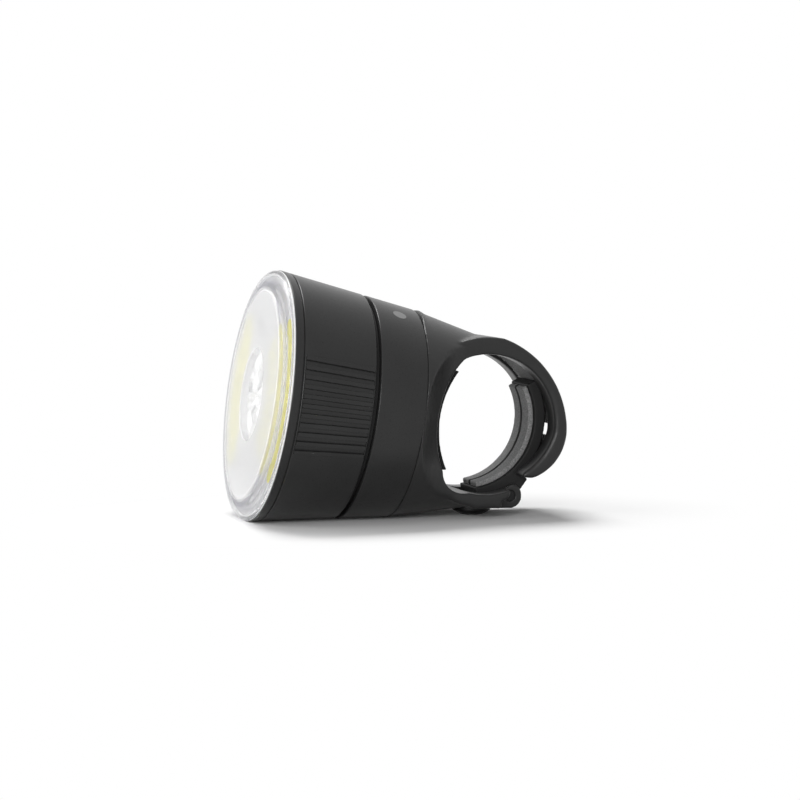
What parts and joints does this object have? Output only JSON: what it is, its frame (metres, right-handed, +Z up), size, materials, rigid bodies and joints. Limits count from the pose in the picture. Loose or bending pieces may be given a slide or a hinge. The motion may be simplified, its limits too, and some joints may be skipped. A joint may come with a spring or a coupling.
{
  "type": "bike headlight",
  "caption": "Round cone-shaped bike headlight that twists and pulls out of a dock on a handlebar clamp with a rubber strap and a hinged padded jaw.",
  "frame": {"origin": "on the axis of the clamped handlebar, midway across the clamp", "axes": "+X along the handlebar, -Y the way the beam points, +Z up, with the light lying on its lens rim and screw head"},
  "size_m": [0.062, 0.0811, 0.0614],
  "materials": {
    "casing": "fine matte texture",
    "inner_plastic": "matte",
    "strap_rubber": "smooth matte",
    "dark_rubber": "matte",
    "grey_rubber": "fine grain",
    "clear": "clear moulded plastic",
    "white": "satin white",
    "phosphor": "silicone gel",
    "board_white": "solder mask",
    "board_green": "solder mask",
    "aluminium": "machined",
    "steel": "plain",
    "black_steel": "black oxide",
    "chrome": "nickel plated",
    "seal": "smooth",
    "cell": "shrink sleeve",
    "dot": "printed"
  },
  "bodies": {
    "base": {"dock_cup": "casing", "index_dot": "dot", "dock_plate": "steel", "dock_screws": "steel", "clamp_base": "casing", "saddle_pad": "dark_rubber", "hinge_pin": "black_steel", "clamp_screw": "black_steel", "clamp_nut": "steel"},
    "plug": {"plug_neck": "inner_plastic", "plug_cup": "inner_plastic", "plug_seal": "seal", "retaining_ring": "steel", "plug_magnets": "chrome", "charge_port": "steel", "port_board": "board_green"},
    "head": {"lens_cover": "clear", "reflector": "white", "cob_strips": "phosphor", "collimator": "clear", "spot_led": "phosphor", "led_board": "board_white", "heat_sink": "aluminium", "bezel": "casing", "lens_seal": "seal", "body_shell": "casing", "control_board": "board_green", "battery": "cell", "battery_cradle": "inner_plastic", "case_screws": "steel", "rear_bulkhead": "inner_plastic"},
    "strap": {"strap": "strap_rubber"},
    "jaw": {"jaw": "inner_plastic", "jaw_pad_left": "grey_rubber", "jaw_pad_right": "grey_rubber"}
  },
  "joints": [
    {"name": "head_pull", "type": "slide", "parent": "base", "child": "plug", "axis": [0, -0.9898, 0.1424], "range_m": [0, 0.025]},
    {"name": "head_twist", "type": "hinge", "parent": "plug", "child": "head", "pos_m": [0, 0, 0], "axis": [0, -0.9898, 0.1424], "range_deg": [0, 90]},
    {"name": "strap_lift", "type": "hinge", "parent": "base", "child": "strap", "pos_m": [0, 0.00404, 0.02173], "axis": [1, 0, 0], "range_deg": [0, 75], "stiffness_Nm_per_rad": 0.05},
    {"name": "jaw_open", "type": "hinge", "parent": "base", "child": "jaw", "pos_m": [0, 0.0074, -0.01784], "axis": [-1, 0, 0], "range_deg": [0, 52.5]}
  ],
  "couplings": [
    {"joint": "jaw_open", "follows": "strap_lift", "ratio": 0.7}
  ]
}
